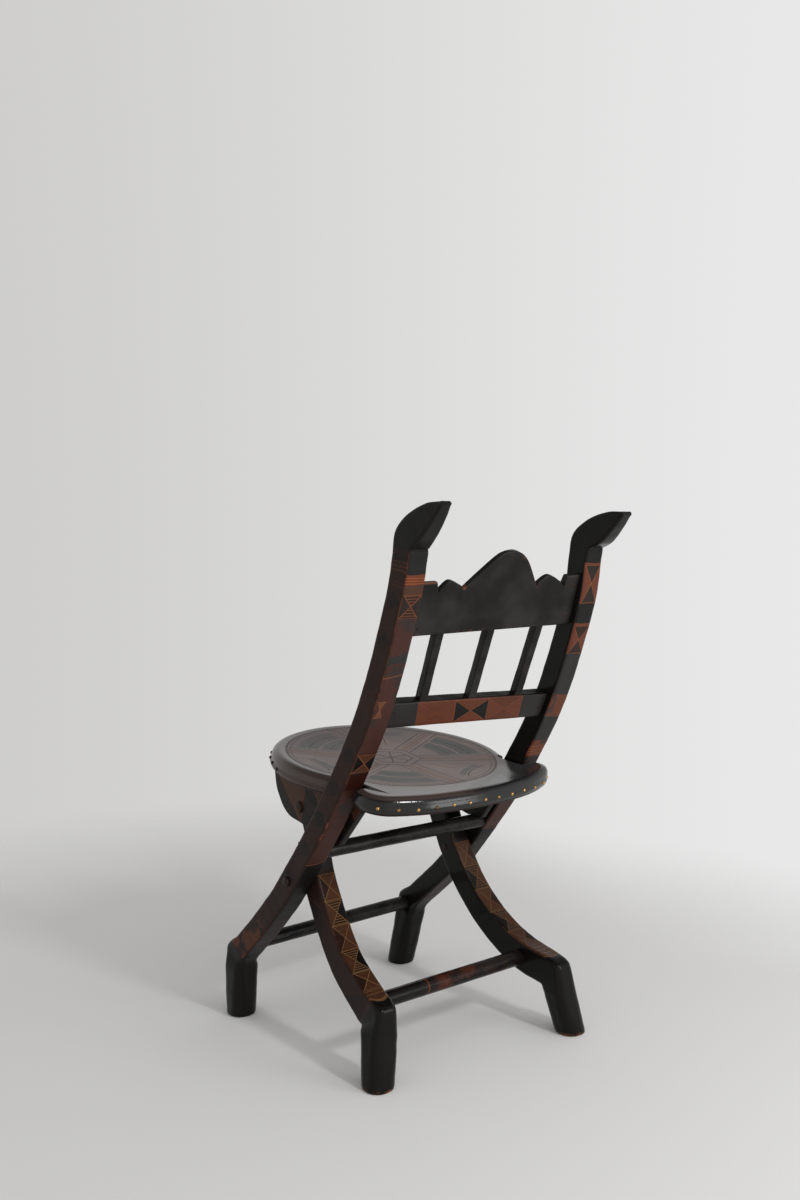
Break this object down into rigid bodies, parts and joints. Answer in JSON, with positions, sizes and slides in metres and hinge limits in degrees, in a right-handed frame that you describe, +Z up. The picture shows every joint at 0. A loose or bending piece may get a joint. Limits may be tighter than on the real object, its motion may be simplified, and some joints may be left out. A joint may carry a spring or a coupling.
{
  "type": "folding chair",
  "caption": "Folding wooden chair with crossed legs, horned back posts, a shaped crest over spindles and a round leather covered seat that hooks on a rod.",
  "frame": {"origin": "centre of the chair's box, on the floor", "axes": "+Z up, -Y the way the sitter faces, +X the sitter's left"},
  "size_m": [0.4178, 0.5774, 0.8456],
  "materials": {
    "painted_wood": "black lacquer with red-brown panels, worn gloss",
    "brown_wood": "red-brown stain with a worn gloss",
    "leather": "pale tooled hide, polished by use",
    "iron": "dark forged iron"
  },
  "bodies": {
    "back_frame": {"long_member_left": "painted_wood", "long_member_right": "painted_wood", "crest_rail": "painted_wood", "lower_rail": "painted_wood", "spindle_left": "painted_wood", "spindle_middle": "painted_wood", "spindle_right": "painted_wood", "rest_rod": "painted_wood", "front_stretcher": "painted_wood"},
    "leg_frame": {"short_member_left": "painted_wood", "short_member_right": "painted_wood", "rear_stretcher": "painted_wood", "cross_bolt_left": "iron", "cross_bolt_right": "iron", "cross_washer_left": "iron", "cross_washer_right": "iron"},
    "seat": {"seat_board": "painted_wood", "seat_leather": "leather", "cheek_left": "brown_wood", "cheek_right": "brown_wood", "seat_bolt_left": "iron", "seat_bolt_right": "iron", "seat_washer_left": "iron", "seat_washer_right": "iron"}
  },
  "joints": [
    {"name": "fold", "type": "hinge", "parent": "back_frame", "child": "leg_frame", "pos_m": [0, -0.0873, 0.262], "axis": [-1, 0, 0], "range_deg": [0, 17]},
    {"name": "seat_lift", "type": "hinge", "parent": "leg_frame", "child": "seat", "pos_m": [0, -0.1223, 0.36597], "axis": [1, 0, 0], "range_deg": [0, 27.2]}
  ],
  "couplings": [
    {"joint": "seat_lift", "follows": "fold", "ratio": 1.6}
  ]
}
